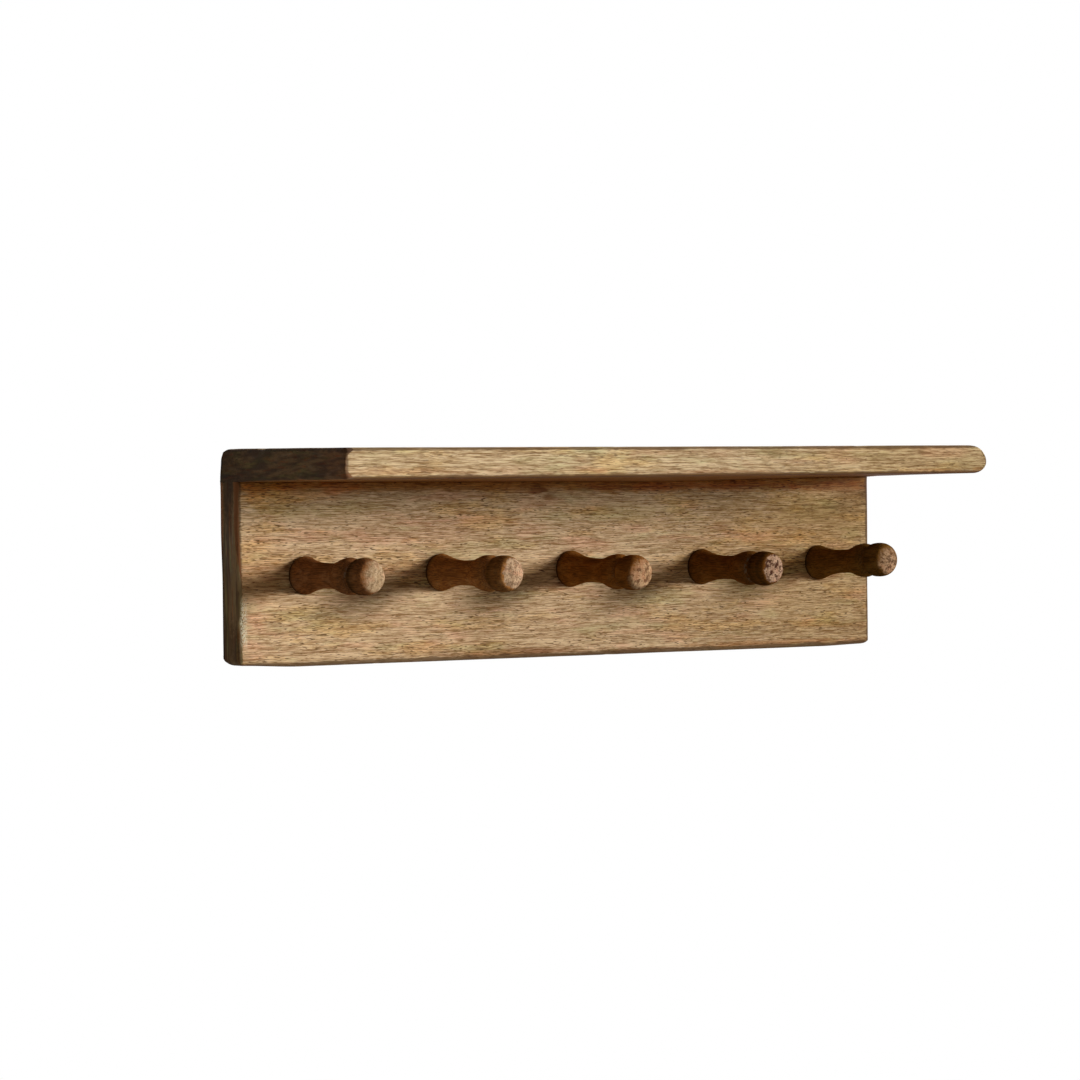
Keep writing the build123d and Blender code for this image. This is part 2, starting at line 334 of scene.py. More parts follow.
@cache
def long_grain():
    """Fibres, streaks, pores and tints that run along X. Coarse is how wide the grain is"""
    tree = Group(
        "Long Grain", SURFACE, numbers={"Coarse": 1.0, "Sway": 6.0, "Pores": 1.0, "Contrast": 1.0},
        colours=("Pale", "Mid", "Deep", "Pore"),
    )
    given = tree.inputs
    place = tree.scaled(given["Place"], tree.math("DIVIDE", 1 / MM, given["Coarse"]))

    def drift(size, detail):
        """How far the grain strays to each side, from -0.5 to 0.5"""
        return tree.vector("SUBTRACT", tree.noise(place, size, detail, output=COLOUR), (0.5, 0.5, 0.5))

    slow, quick = drift((170, 44, 44), 1.0), drift((30, 7, 7), 2.0)
    sway = tree.vector("ADD", tree.scaled(slow, given["Sway"]), tree.scaled(quick, 1.8))
    bent = tree.vector("ADD", place, tree.vector("MULTIPLY", sway, (0.0, 1.0, 1.0)))

    fibre = tree.noise(bent, (11, 0.66, 0.66), 3.0, 0.68)
    streak = tree.noise(bent, (55, 1.6, 1.6), 2.0, 0.55)
    band = tree.noise(bent, (240, 14, 14))
    thread = tree.noise(bent, (30, 0.6, 0.6), 2.0, 0.6)
    tone = tree.math("SUBTRACT", tree.blend((fibre, 0.64), (streak, 0.26), (band, 0.1)), 0.5)
    tone = tree.math("MULTIPLY_ADD", tone, given["Contrast"], 0.5)
    wood = tree.cover(given["Deep"], given["Mid"], tone, 0.39, 0.5)
    wood = tree.cover(wood, given["Pale"], tone, 0.495, 0.6)
    wood = tree.cover(wood, given["Pale"], thread, 0.53, 0.63, 0.75)
    wood = tree.cover(wood, given["Deep"], thread, 0.45, 0.34, 0.55)
    tints = tree.node("ShaderNodeSeparateColor", (tree.noise(place, (60, 13, 13), 3.0, 0.6, COLOUR),))
    for value, tint in zip(tints.outputs, (STRAW, PINK, MOSS)):
        wood = tree.tint(wood, tint, tree.ramp(value, 0.5, 0.68, 0.9))

    crowd = tree.ramp(tree.noise(place, (60, 13, 13)), 0.42, 0.62)
    limit = tree.math("MULTIPLY_ADD", crowd, -0.08, 0.69)
    dash = tree.math("SUBTRACT", tree.noise(bent, (4.4, 0.5, 0.5), 0.0), limit)
    pores = tree.math("MULTIPLY", tree.ramp(dash, 0.0, 0.08, 0.8), given["Pores"], clamp=True)
    return tree.give(
        Colour=tree.mix(pores, wood, given["Pore"]),
        Roughness=tree.math("MULTIPLY_ADD", streak, -0.2, 0.7),
        Height=tree.blend((fibre, 0.7), (pores, -1.0)),
    )


@cache
def end_grain():
    """Bands, pores and tints of a plank's end. Lie is how many blots there are in a millimetre
    along X, Y and Z"""
    tree = Group("End Grain", SURFACE, vectors=("Place", "Lie"), colours=("Light", "Dark"))
    given = tree.inputs
    along = tree.vector("MULTIPLY", tree.millimetres(given["Place"]), given["Lie"])

    def blots(share, detail, roughness=0.5, output=VALUE):
        return tree.noise(tree.scaled(along, share), (1, 1, 1), detail, roughness, output)

    bands, smudge = blots(1.0, 3.0, 0.62), blots(0.42, 2.0)
    wood = tree.cover(given["Dark"], given["Light"], tree.blend((bands, 0.55), (smudge, 0.45)), 0.4, 0.6)
    wood = tree.tint(wood, GREENISH, tree.ramp(blots(0.6, 2.0), 0.52, 0.66, 0.8))
    wood = tree.tint(wood, RUSTY, tree.ramp(blots(1.4, 2.0), 0.55, 0.7, 0.8))
    wood = tree.tint(wood, ASHEN, tree.ramp(blots(0.9, 2.0, output=COLOUR), 0.54, 0.66, 0.9))
    pores = tree.ramp(blots(4.0, 1.0), 0.54, 0.7, 0.6)
    return tree.give(
        Colour=tree.mix(pores, wood, given["Dark"]),
        Roughness=tree.math("MULTIPLY_ADD", smudge, 0.2, 0.62),
        Height=tree.math("MULTIPLY_ADD", pores, -0.7, bands),
    )


@cache
def stain():
    """A soft blot about a centre, drawn out to its reach along X, Y and Z"""
    tree = Group("Stain", {"Mask": "Float"}, vectors=("Place", "Centre", "Reach"), numbers={"Strength": 1.0})
    given = tree.inputs
    place = tree.millimetres(given["Place"])
    offset = tree.vector("SUBTRACT", place, given["Centre"])
    away = tree.vector("LENGTH", tree.vector("DIVIDE", offset, given["Reach"]))
    ragged = tree.math("MULTIPLY_ADD", tree.noise(place, (14, 2.6, 2.6), 3.0, 0.65), 1.5, -0.75)
    inside = tree.ramp(tree.math("ADD", away, ragged), 1.1, 0.35)
    return tree.give(Mask=tree.product(inside, given["Strength"]))


@cache
def turned_wood():
    """Grain along Z with the faint rings that a lathe leaves round it"""
    tree = Group("Turned Wood", SURFACE, colours=("Body", "Deep", "Glow"))
    given = tree.inputs
    place = tree.millimetres(given["Place"])
    fibre = tree.noise(place, (0.9, 0.9, 13), 3.0, 0.6)
    cloud = tree.noise(place, (8, 8, 17), 3.0, 0.6)
    rings = tree.noise(place, (60, 60, 0.55), 2.0, 0.7)
    pores = tree.ramp(tree.noise(place, (0.6, 0.6, 4), 1.0), 0.62, 0.7)
    wood = tree.cover(given["Deep"], given["Body"], fibre, 0.36, 0.62)
    wood = tree.cover(wood, given["Glow"], cloud, 0.5, 0.7, 0.6)
    wood = tree.cover(wood, given["Deep"], cloud, 0.5, 0.32, 0.5)
    wood = tree.cover(wood, given["Deep"], rings, 0.5, 0.7, 0.3)
    return tree.give(
        Colour=tree.mix(tree.product(pores, 0.6), wood, given["Deep"]),
        Roughness=tree.math("MULTIPLY_ADD", cloud, 0.3, 0.27),
        Height=tree.blend((rings, 0.8), (fibre, 0.4), (pores, -0.5)),
    )


@cache
def cut_tip():
    """Bare, mottled end grain at a peg's tip, beyond a reach along Z. Log is the place in the log"""
    tree = Group(
        "Cut Tip", {"Colour": "Color", "Mask": "Float", "Height": "Float"}, vectors=("Place", "Log"),
        numbers={"From": 80.0, "Slope": 0.0, "Rise": 0.0, "Soft": 1.0, "Mottling": 0.5, "Specks": 0.5},
        colours=("Pale", "Dark"),
    )
    given = tree.inputs
    across, upward, reach = tree.axes(tree.millimetres(given["Place"]))
    reach = tree.math("MULTIPLY_ADD", across, given["Slope"], reach)
    reach = tree.math("MULTIPLY_ADD", upward, given["Rise"], reach)
    log = tree.millimetres(given["Log"])
    ragged = tree.math("MULTIPLY_ADD", tree.noise(log, (5, 5, 5), 3.0, 0.6), 4.0, -2.0)
    beyond = tree.math("SUBTRACT", tree.math("ADD", reach, ragged), given["From"])
    mask = tree.ramp(tree.math("DIVIDE", beyond, given["Soft"]), -1.0, 1.0)
    blots = tree.noise(log, (3.8, 3.4, 5), 3.0, 0.68)
    specks = tree.ramp(tree.noise(log, (1.3, 1.3, 3), 2.0, 0.6), 0.52, 0.62)
    wood = tree.tint(given["Pale"], ROSY, tree.ramp(tree.noise(log, (6, 6, 6)), 0.5, 0.66, 0.8))
    wood = tree.tint(wood, SMOKY, tree.ramp(tree.noise(log, (2.8, 8, 6)), 0.42, 0.62, 0.7))
    wood = tree.mix(tree.product(tree.ramp(blots, 0.49, 0.6), given["Mottling"]), wood, given["Dark"])
    wood = tree.mix(tree.product(specks, given["Specks"]), wood, given["Dark"])
    return tree.give(Colour=wood, Mask=mask, Height=tree.blend((blots, -1.2), (specks, -0.8)))


@cache
def drawn_metal():
    """Fine scratches and dull patches of plated sheet and wire"""
    tree = Group("Drawn Metal", SURFACE, colours=("Bright", "Dull"))
    given = tree.inputs
    place = tree.millimetres(given["Place"])
    patch = tree.noise(place, (4, 4, 4), 3.0, 0.6)
    return tree.give(
        Colour=tree.cover(given["Dull"], given["Bright"], patch, 0.42, 0.62),
        Roughness=tree.math("MULTIPLY_ADD", patch, 0.3, 0.2),
        Height=tree.noise(place, (0.12, 3, 6), 3.0, 0.7),
    )


# ---- Materials ------------------------------------------------------------------
def material(name):
    """A new material, and its tree with nothing in it but the output"""
    made = bpy.data.materials.new(name)
    made.use_nodes = True
    made.node_tree.nodes.clear()
    tree = Tree(made.node_tree)
    tree.output = tree.node("ShaderNodeOutputMaterial").inputs["Surface"]
    return made, tree


def surface(tree, colour, roughness, height, relief, gloss=0.5, metallic=0.0):
    """Closes a material: one Principled shader, with bump of a depth in millimetres"""
    bump = tree.node("ShaderNodeBump", {"Height": height, "Distance": relief * MM, "Strength": 1.0})
    shader = tree.node("ShaderNodeBsdfPrincipled", {
        "Base Color": colour, "Roughness": roughness, "Normal": bump.outputs["Normal"],
        "Specular IOR Level": gloss, "Metallic": metallic,
    })
    tree.feed(tree.output, shader.outputs[0])


def own_place(tree, shift):
    """The place on the piece, and the same shifted to the piece's own part of the log"""
    place = tree.node("ShaderNodeTexCoord").outputs["Object"]
    return place, tree.vector("ADD", place, shift)


# Colours that are multiplied in. Some of them stand for painted shade: below the shelf, on its underside, at
# the ends' back corners and in the pegs' shadows
SHADE, SHADE_UNDER_SHELF, UNDERSIDE_SHADE = (0.95, 0.78, 0.5), (0.75, 0.53, 0.29), (0.72, 0.54, 0.34)
UMBER, RUSSET, AMBER = (0.5, 0.36, 0.26), (0.85, 0.62, 0.47), (1.08, 0.86, 0.62)
OLIVE, HONEY, GOLD = (0.78, 0.82, 0.62), (1.12, 0.98, 0.72), (0.96, 0.91, 0.74)
ROSE, WARM_SHADOW, MUTED = (1.04, 0.9, 0.92), (1.0, 0.9, 0.8), (0.84, 0.82, 0.78)
DUSK, CORNER_SHADE, CHARCOAL = (0.56, 0.5, 0.45), (0.5, 0.46, 0.42), (0.28, 0.25, 0.22)
SLATE, RUDDY = (0.95, 1.1, 1.4), (1.16, 0.94, 0.9)
# Grime and painted shade on the pegs
GRIMY_SHADE, BLACKENED_SHADE = (0.4, 0.48, 0.5), (0.4, 0.36, 0.34)

# Marks on a plank's front face in millimetres: x, z, reach along x and z, strength, colour
BOARD_MARKS = (
    # Painted shade of the shelf on the board's top
    (0, 45, 420, 13, 0.85, SHADE),
    (270, -10, 200, 130, 0.75, GOLD),
    (270, 20, 110, 34, 0.6, GOLD),
    # Painted shade of the shelf at the board's upper right
    (285, 36, 46, 24, 0.75, DUSK),
    (-262, 36, 70, 9, 0.8, AMBER),
    (-34, 36, 11, 5, 1.0, UMBER),
    (-24, 31, 9, 4, 0.8, UMBER),
    (215, 14, 110, 17, 1.0, MUTED),
    # A warm tint painted into the shadow left of the first peg
    (-283, -20, 26, 42, 0.8, WARM_SHADOW),
    (-284, 30, 14, 7, 0.7, HONEY),
    (-262, 21, 36, 7, 0.6, OLIVE),
    (-204, 23, 40, 6, 0.55, OLIVE),
    (-140, 4, 62, 18, 0.4, ROSE),
    (-286, -57, 10, 7, 0.6, ROSE),
    (45, 18, 48, 9, 0.6, OLIVE),
    (60, 38, 60, 5, 0.8, RUSSET),
    (165, 38, 70, 5, 0.8, RUSSET),
    (262, 38, 60, 6, 0.85, RUSSET),
    (240, 20, 44, 12, 0.45, OLIVE),
    (205, -4, 60, 8, 0.5, HONEY),
    (-60, -86, 90, 4, 0.8, UMBER),
    (60, -88, 60, 3, 0.8, UMBER),
    (190, -86, 110, 3, 0.7, RUSSET),
)
SHELF_MARKS = (
    (-250, 47, 60, 3, 0.5, RUSSET),
    (40, 46, 90, 3, 0.5, RUSSET),
    (245, 47, 60, 3, 0.6, RUSSET),
    (120, 60, 90, 4, 0.4, OLIVE),
    (270, 54, 26, 9, 0.3, OLIVE),
    (260, 54, 190, 40, 0.7, GOLD),
    (292, 49, 9, 3, 0.6, AMBER),
    # Painted shade along the shelf's lower front edge and the front of its underside
    (0, 42, 420, 2.6, 0.75, UMBER),
)
# Marks on the planks' left ends in millimetres: y, z, reach along y and z, strength, colour
END_MARKS = (
    # Painted shade at the ends' upper back corners, about the joint of the planks
    (-2, 46, 34, 40, 1.0, CORNER_SHADE),
    # Painted shade at the board end's lower back corner
    (-6, -74, 18, 24, 0.9, DUSK),
    (-9, -8, 9, 26, 0.8, SLATE),
    (-150, 54, 26, 16, 0.8, RUDDY),
)
MARK_DEPTH = 9.0            # how far a mark reaches into a plank, in millimetres
DARK_EDGE_LEVELS = 3.0, 9.0      # where the darkening along an end's edges begins and is full, in millimetres from its edges
LOG_STEP = 0.07, 0.05, 0.3  # from one peg's place in the log to that of the next, in metres

# The look of each plank: colours multiplied in on its sides and its ends, its place in the log,
# how its long grain differs from the usual, and how its end grain lies
BOARD_LOOK = {
    "name": "board_wood", "tone": WHITE, "end_tone": (1.13, 1.13, 1.1), "shift": (0.0, 0.0, 0.0),
    "grain": {"Contrast": 1.22, "Pores": 1.1}, "lie": (0.02, 0.35, 0.03),
}
SHELF_LOOK = {
    "name": "shelf_wood", "tone": (0.88, 0.92, 0.92), "end_tone": (0.73, 0.69, 0.67),
    "shift": (0.93, 0.31, 0.17), "lie": (0.02, 0.06, 0.32),
    "grain": {"Coarse": 1.22, "Sway": 4.0, "Contrast": 1.27, "Pores": 0.7},
}


def foot_marks():
    """Painted contact shade with some grime round the foot of each peg, and a warm tint painted into the
    peg's shadow beside it
    """
    marks = []
    for node in PEG_NODES:
        centre = peg_place(node).translation / MM
        # Painted contact shade, with some grime, round the foot
        marks.append((centre.x, centre.z, 17.5, 17.5, 0.9, UMBER))
        # A warm tint painted into the peg's shadow beside the foot
        marks.append((centre.x - 32, centre.z - 4, 34, 15, 0.8, WARM_SHADOW))
    return tuple(marks)


def add_marks(tree, wood, place, marks, axis, level):
    """Multiplies marks in, on the face at a level across an axis"""
    for first, second, first_reach, second_reach, strength, tint in marks:
        centre, reach = [first, second], [first_reach, second_reach]
        centre.insert(axis, level)
        reach.insert(axis, MARK_DEPTH)
        mark = tree.place(stain(), Place=place, Centre=centre, Reach=reach, Strength=strength)
        wood = tree.tint(wood, tint, mark["Mask"])
    return wood


def plank_material(look, colours, marks, front):
    """Oiled plank: long grain on its sides, dark end grain, rubbed edges and placed marks, some of which are
    painted shade, with painted shade below the shelf and along the handled edges too. front is the level of
    its front face in millimetres"""
    made, tree = material(look["name"])
    place, log_place = own_place(tree, look["shift"])
    millimetres = tree.millimetres(place)
    breaks = tree.math("SUBTRACT", tree.noise(millimetres, (16, 4, 5), 3.0, 0.65), 0.5)

    def ragged(name, share, start, end, most=1.0):
        """A painted number as a mask, whose edge is broken up"""
        value = tree.math("MULTIPLY_ADD", breaks, share, tree.painted(name))
        return tree.ramp(value, start, end, most)

    grain = tree.place(
        long_grain(), Place=log_place, Pale=colours.pale, Mid=colours.mid, Deep=colours.deep,
        Pore=colours.pore, **look["grain"],
    )
    wood = add_marks(tree, tree.tint(grain["Colour"], look["tone"]), place, marks, Y, front)
    # Painted shade below the shelf, and darker painted shade on the shelf's underside
    wood = tree.tint(wood, SHADE_UNDER_SHELF, ragged("under_shelf_shade", 0.8, 0.1, 0.9))
    wood = tree.tint(wood, UNDERSIDE_SHADE, tree.ramp(tree.painted("under_shelf_shade"), 1.0, 2.0))
    # Grime on the handled edges, which also stands for painted shade on the lower ones
    wood = tree.mix(ragged("arris", 1.4, 0.3, 0.85, 0.8), wood, colours.grime_and_shade)
    wood = tree.mix(ragged("rub", 0.5, 0.42, 0.6, 0.85), wood, colours.arris)

    end = tree.place(end_grain(), Place=log_place, Lie=look["lie"], Light=colours.end, Dark=colours.end_deep)
    end_wood = tree.tint(end["Colour"], look["end_tone"])
    end_wood = add_marks(tree, end_wood, place, END_MARKS, X, SHELF[LOW].x / MM)
    ends = ragged("cut", 0.6, 0.42, 0.58)
    wood = tree.mix(ends, wood, end_wood)
    _, depth, level = tree.axes(millimetres)
    off_joint = tree.math("ABSOLUTE", tree.math("SUBTRACT", level, SEAT_LEVEL / MM))
    off_front = tree.math("SUBTRACT", depth, front)
    inside = tree.product(tree.ramp(off_front, *DARK_EDGE_LEVELS), tree.ramp(off_joint, *DARK_EDGE_LEVELS))
    # Darker along the ends' edges, away from the front face and the joint
    wood = tree.tint(wood, CHARCOAL, tree.product(ragged("arris", 1.2, 0.25, 0.9, 0.9), ends, inside))
    threads = tree.ramp(tree.noise(millimetres, (0.8, 0.8, 1.5), 2.0, 0.7), 0.45, 0.55)
    wood = tree.mix(tree.product(threads, tree.painted("fray")), wood, colours.frayed)

    rough = tree.mix_values(ends, grain["Roughness"], end["Roughness"])
    height = tree.mix_values(ends, grain["Height"], end["Height"])
    surface(tree, wood, rough, height, relief=0.16, gloss=0.07)
    return made


def peg_material(name, colours, look, seed):
    """Dull red-brown turned wood with a bare tip, grime and painted shade on its head, rim and foot, and dust
    with a painted sheen in the groove
    """
    made, tree = material(name)
    place, log_place = own_place(tree, tuple(seed * step for step in LOG_STEP))
    wood = tree.place(turned_wood(), Place=log_place, Body=colours.body, Deep=colours.deep, Glow=colours.glow)
    bare = tree.place(cut_tip(), Place=place, Log=log_place, **look["tip"])
    grime_and_shade = tree.painted("grime_and_shade")
    patches = tree.ramp(tree.noise(tree.millimetres(place), (3, 3, 2)), 0.42, 0.6)
    colour = tree.tint(wood["Colour"], look["tone"])
    # Grime and painted shade, darker where the painted mask is high
    colour = tree.tint(colour, GRIMY_SHADE, tree.math("MULTIPLY", grime_and_shade, 0.75, clamp=True))
    colour = tree.tint(colour, BLACKENED_SHADE, tree.ramp(grime_and_shade, 0.85, 1.35))
    # Dust, and a painted sheen, in the groove
    colour = tree.mix(tree.product(tree.painted("dust_and_sheen"), patches, look["dust_and_sheen"]), colour, colours.dust_and_sheen)
    colour = tree.mix(bare["Mask"], colour, bare["Colour"])
    rough = tree.math("MULTIPLY_ADD", bare["Mask"], 0.25, wood["Roughness"])
    height = tree.mix_values(bare["Mask"], wood["Height"], bare["Height"])
    surface(tree, colour, rough, height, relief=0.12, gloss=0.0)
    return made


def plain_material(name, finish, relief, shift=(0.0, 0.0, 0.0), metallic=0.0, **colours):
    """A material of one finish alone"""
    made, tree = material(name)
    looks = tree.place(finish, Place=own_place(tree, shift)[1], **colours)
    surface(tree, looks["Colour"], looks["Roughness"], looks["Height"], relief, metallic=metallic)
    return made


# ---- Mesh tools -----------------------------------------------------------------
SHARP = math.radians(42)
WELD = 1e-6                 # corners closer than this are one
FOREVER = 1000              # a ripple this long, in millimetres, hardly varies across a plank


def graded(low, high, step, finest=0.4 * MM, growth=1.25):
    """Places from low to high, closest together near both ends, where the edges are rounded"""
    near = [0.0]
    gap = finest
    while gap < step and near[-1] + 2 * gap < (high - low) / 2:
        near.append(near[-1] + gap)
        gap *= growth
    rest = high - low - 2 * near[-1]
    count = max(2, round(rest / step))
    middle = [near[-1] + rest * i / count for i in range(1, count)]
    far = [high - low - place for place in reversed(near)]
    return [low + place for place in near + middle + far]


def box_shell(*axes):
    """Points and quads of a box's surface, on the grid of three lists of places"""
    last = [len(places) - 1 for places in axes]
    index = {}
    quads = []
    for axis in (X, Y, Z):
        first, second = (axis + 1) % 3, (axis + 2) % 3
        for side in (LOW, HIGH):
            for i in range(last[first]):
                for j in range(last[second]):
                    ring = [(i, j), (i + 1, j), (i + 1, j + 1), (i, j + 1)]
                    if side == LOW:
                        ring.reverse()
                    quad = []
                    for a, b in ring:
                        key = [0, 0, 0]
                        key[axis], key[first], key[second] = side * last[axis], a, b
                        quad.append(index.setdefault(tuple(key), len(index)))
                    quads.append(quad)
    points = np.array([[axes[axis][key[axis]] for axis in (X, Y, Z)] for key in index])
    return points, quads


def ease_edges(points, box, *edges):
    """Rounds edges of a box, one after the other.

    Each edge is its two faces, and each face is (axis, side, how far the rounding reaches in from
    that face), where the reach is one number or one for each point.
    """
    for edge in edges:
        away, moves = [], []
        for axis, side, reach in edge:
            sign = -1.0 if side == HIGH else 1.0
            away.append(np.clip((points[:, axis] - box[side][axis]) * sign / reach, 0.0, None))
            moves.append((axis, side, sign, reach))
        off = np.hypot(1 - away[0], 1 - away[1])
        outside = (away[0] < 1) & (away[1] < 1) & (off > 1)
        for share, (axis, side, sign, reach) in zip(away, moves):
            eased = box[side][axis] + sign * reach * (1 - (1 - share) / np.maximum(off, TINY))
            points[:, axis] = np.where(outside, eased, points[:, axis])


def ripple(points, size, seed):
    """Smooth noise from -1 to 1 at each point, with ripples of a size in millimetres along X, Y and Z"""
    return np.array([noise.noise(Vector(place)) for place in points / (np.array(size) * MM) + seed])


def smooth(value, start, end):
    """Runs from 0 to 1 as the value goes from start to end"""
    share = np.clip((value - start) / (end - start), 0.0, 1.0)
    return share * share * (3 - 2 * share)


def read_rows(data, name):
    """Reads points or directions as rows of X, Y and Z"""
    values = np.empty(len(data) * 3)
    data.foreach_get(name, values)
    return values.reshape(-1, 3)


def write_points(mesh, points):
    mesh.vertices.foreach_set("co", np.asarray(points, np.float32).ravel())
    mesh.update()


def new_mesh(name, points, faces):
    mesh = bpy.data.meshes.new(name)
    mesh.from_pydata([tuple(place) for place in points], [], [tuple(face) for face in faces])
    mesh.update()
    return mesh


def paint(mesh, name, values):
    """Keeps one number for each point, for a material to read"""
    layer = mesh.attributes.new(name, "FLOAT", "POINT")
    layer.data.foreach_set("value", np.asarray(values, np.float32))


def dent(points, normals, marks):
    """Presses small hollows in. Each mark is (x, y, z, reach, depth) in millimetres"""
    for *place, reach, depth in marks:
        away = np.linalg.norm(points - np.array(place) * MM, axis=1) / (reach * MM)
        press = depth * MM * np.clip(1 - away * away, 0.0, None) ** 2
        points -= normals * press[:, None]


def circle(radius, around):
    """Places round a circle"""
    turns = [2 * math.pi * i / around for i in range(around)]
    return [(radius * math.cos(turn), radius * math.sin(turn)) for turn in turns]


def ring_faces(rings, around):
    """Faces from a first point out over rings of points"""
    faces = [(0, 1 + (i + 1) % around, 1 + i) for i in range(around)]
    for start in range(1, 1 + (rings - 1) * around, around):
        for i in range(around):
            j = (i + 1) % around
            faces.append((start + i, start + j, start + around + j, start + around + i))
    return faces


def add_piece(name, mesh, matte, nodes):
    """A new piece that stands for CAD nodes"""
    piece = bpy.data.objects.new(name, mesh)
    bpy.context.scene.collection.objects.link(piece)
    mesh.materials.clear()
    mesh.materials.append(matte)
    mesh.shade_smooth()
    mesh.set_sharp_from_angle(angle=SHARP)
    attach(piece, "root")
    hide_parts(*nodes)
    return piece


def finish_node(node, matte):
    """Gives a CAD node that stays in view its material"""
    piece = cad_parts[node]
    for material_slot in piece.material_slots:
        material_slot.material = matte


def grown_skin(node, growth=4 * MM, sharp=math.radians(45)):
    """A copy of a CAD solid whose outside is moved out, so that only its holes keep their place"""
    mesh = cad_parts[node].data.copy()
    form = bmesh.new()
    form.from_mesh(mesh)
    bmesh.ops.remove_doubles(form, verts=form.verts, dist=WELD)
    start = max(form.faces, key=lambda face: face.calc_area())
    skin, todo = {start}, [start]
    while todo:
        for edge in todo.pop().edges:
            if len(edge.link_faces) == 2 and edge.calc_face_angle() < sharp:
                fresh = [face for face in edge.link_faces if face not in skin]
                skin.update(fresh)
                todo.extend(fresh)
    outward = {}
    for face in skin:
        for vertex in face.verts:
            outward[vertex] = outward.get(vertex, Vector()) + face.normal * face.calc_area()
    for vertex, direction in outward.items():
        vertex.co += direction.normalized() * growth
    form.to_mesh(mesh)
    form.free()
    return mesh


def cut_as(mesh, node):
    """Gives a plank the sockets, holes and recesses of its CAD solid"""
    plank = bpy.data.objects.new("plank", mesh)
    cutter = bpy.data.objects.new("cutter", grown_skin(node))
    for item in (plank, cutter):
        bpy.context.scene.collection.objects.link(item)
    cut = plank.modifiers.new("holes", "BOOLEAN")
    cut.operation, cut.solver, cut.object = "INTERSECT", "EXACT", cutter
    graph = bpy.context.evaluated_depsgraph_get()
    made = bpy.data.meshes.new_from_object(plank.evaluated_get(graph), depsgraph=graph)
    for item in (plank, cutter):
        bpy.data.objects.remove(item)
    return made


# ---- Planks ---------------------------------------------------------------------
# How far the wear of an end reaches in along the board and the shelf
BOARD_LEFT_WEAR, BOARD_RIGHT_WEAR, SHELF_LEFT_WEAR = 55 * MM, 50 * MM, 30 * MM
JOINT_RISE_FROM = 60 * MM
# Shares by which the rounding of the long edges on the front and on the wall varies
FRONT_WAVE, WALL_WAVE = 0.16, 0.1
# Paint in millimetres: how wide the handled edges are, whose grime also stands for painted shade, and how
# softly an end's paint fades out. Then levels on the board: where its end grain comes round the left arris,
# where that arris is scuffed, and where the painted shade below the shelf begins and is full
BOARD_EDGE, SHELF_EDGE, END_FADE = 5.5, 4.2, 6
CUT_LEVELS, SCUFF_TOP, SCUFF_BOTTOM, SHADE_UNDER_SHELF_LEVELS = (12, -38), (-38, -46), (-78, -70), (31, 42)
# Nicks in millimetres: x, y, z, reach and depth
BOARD_NICKS = (
    (-299.5, -21.5, 12, 5, 0.6),
    (-298.5, -21.5, -37, 4, 0.7),
    (-298.5, -21.5, -58, 6, 0.9),
    (-181, -21.5, -89.5, 6, 0.6),
    (34, -21.5, -89.5, 7, 0.7),
    (131, -21.5, -89.5, 4, 0.5),
)
SHELF_NICKS = (
    (-214, -159.5, 43.5, 6, 0.6),
    (-62, -159.5, 64.5, 7, 0.5),
    (118, -159.5, 43.5, 5, 0.6),
    (171, -159.5, 64.5, 9, 0.6),
    (243, -159.5, 43.5, 6, 0.5),
    (-298, -101, 43.5, 6, 0.7),
    (-298, -52, 64.5, 8, 0.6),
)


def plank_mesh(node, sizes):
    """A box on a fine grid at a CAD plank's place, with its lowest and highest corners"""
    low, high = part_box(node)
    proud = Vector((sizes.proud, 0.0, 0.0))
    box = (low - proud, high + proud if node == "shelf" else high)
    axes = [graded(box[LOW][axis], box[HIGH][axis], sizes.step) for axis in (X, Y, Z)]
    points, quads = box_shell(*axes)
    return points, quads, box


def planed(node, points, quads, depth, nicks):
    """A plank's mesh with hollows of a depth planed in, its nicks and its CAD solid's holes"""
    mesh = new_mesh(node, points, quads)
    normals = read_rows(mesh.vertex_normals, "vector")
    points -= normals * depth[:, None]
    dent(points, normals, nicks)
    write_points(mesh, points)
    mesh = cut_as(mesh, node)
    return mesh, read_rows(mesh.vertices, "co")


def share_across(points, box, axis):
    """0 at a box's lower face across an axis, 1 at its higher face"""
    return (points[:, axis] - box[LOW][axis]) / (box[HIGH][axis] - box[LOW][axis])


def from_faces(points, box):
    """Distance in millimetres from the nearer of a box's two faces across X, Y and Z"""
    return np.minimum(points - np.array(box[LOW]), np.array(box[HIGH]) - points).T / MM


def seat_lift(x, sizes):
    """How far the joint of the planks rises towards the right end"""
    rise = sizes.seat_right - sizes.seat_left
    return sizes.seat_left + rise * smooth(x, JOINT_RISE_FROM, SHELF[HIGH].x)


def paint_edges(mesh, distances, width, cut, rub):
    """Paints a plank's handled edges, whose grime also stands for painted shade, its end grain and the rubbed
    rim of that.

    distances are those of its points from its end, front and level faces. cut and rub are how far
    the end grain and its rim come past the end's edges, below zero where they stop short. All are
    in millimetres, as is the width of the handled edges.
    """
    paint(mesh, "arris", 1 - smooth(np.sort(distances, axis=0)[1], 0.8, width))
    past = distances[0] - np.minimum(*distances[1:])
    for name, reach in (("cut", cut), ("rub", rub)):
        paint(mesh, name, np.clip(0.5 + (reach - past) / END_FADE, 0.0, 1.0))


